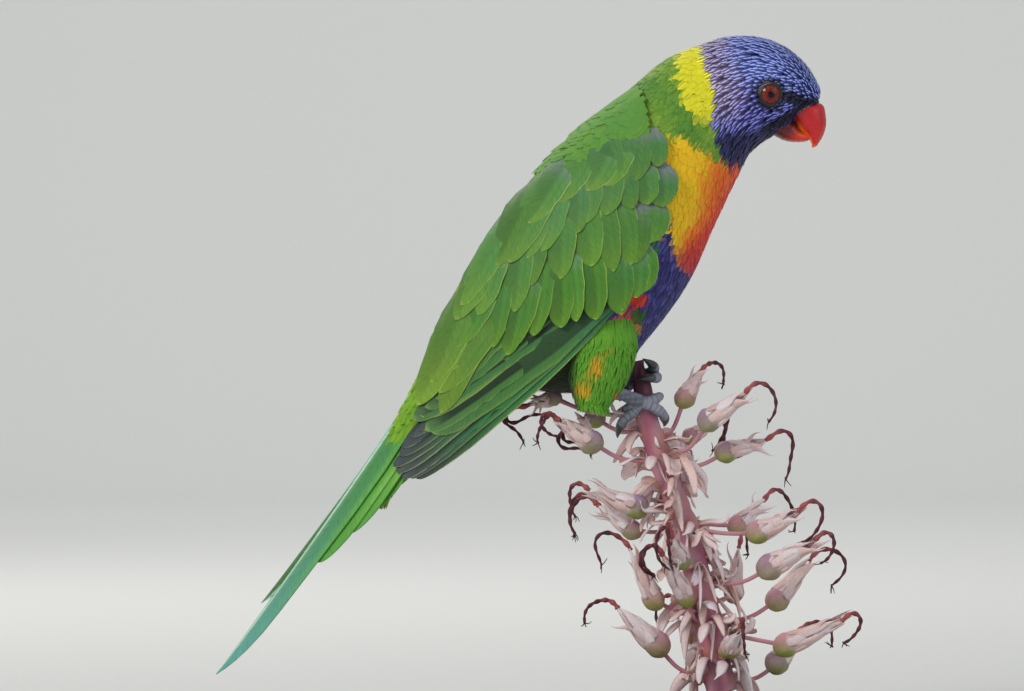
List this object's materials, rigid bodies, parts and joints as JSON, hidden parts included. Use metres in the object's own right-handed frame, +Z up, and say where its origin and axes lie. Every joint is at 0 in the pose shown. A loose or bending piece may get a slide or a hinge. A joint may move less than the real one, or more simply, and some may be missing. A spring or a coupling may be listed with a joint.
{
  "type": "rainbow lorikeet",
  "caption": "Life-size rainbow lorikeet clinging to a cut flower stem with its tail hanging down, on a round display stand.",
  "frame": {"origin": "centre of the underside of the round base", "axes": "+X the way the bird faces, +Y the bird's left side, +Z up"},
  "size_m": [0.2205, 0.124, 0.2467],
  "materials": {
    "head_feathers": "violet-blue streaked feathers",
    "collar_feathers": "yellow-green collar feathers over a green nape",
    "body_feathers": "yellow to orange-red breast, dark blue belly and green back",
    "tail_feathers": "green tail feathers, bluer towards the tip",
    "wing_feathers": "green wing feathers with dusky tips",
    "thigh_feathers": "green feathers with yellow streaks",
    "bill": "smooth red horn with an orange edge",
    "bill_lower": "smooth dark red horn",
    "eye": "wet red-brown iris round a black pupil",
    "foot": "scaly blue-grey skin",
    "claw": "dark smooth horn",
    "perch": "pink flower stem with fading flowers",
    "stand_wood": "dark satin turned wood",
    "stand_brass": "satin brass"
  },
  "bodies": {
    "root": {"head": "head_feathers", "neck": "collar_feathers", "torso": "body_feathers", "tail": "tail_feathers", "bill_upper": "bill", "bill_lower": "bill_lower", "wing_left": "wing_feathers", "wing_right": "wing_feathers", "eye_left": "eye", "eye_right": "eye", "thigh_left": "thigh_feathers", "thigh_right": "thigh_feathers", "foot_left": "foot", "foot_right": "foot", "perch_stem": "perch", "stand_base": "stand_wood", "stand_rod": "stand_brass", "claw_left_1": "claw", "claw_left_2": "claw", "claw_left_3": "claw", "claw_left_4": "claw", "claw_right_1": "claw", "claw_right_2": "claw", "claw_right_3": "claw", "claw_right_4": "claw"}
  },
  "joints": []
}
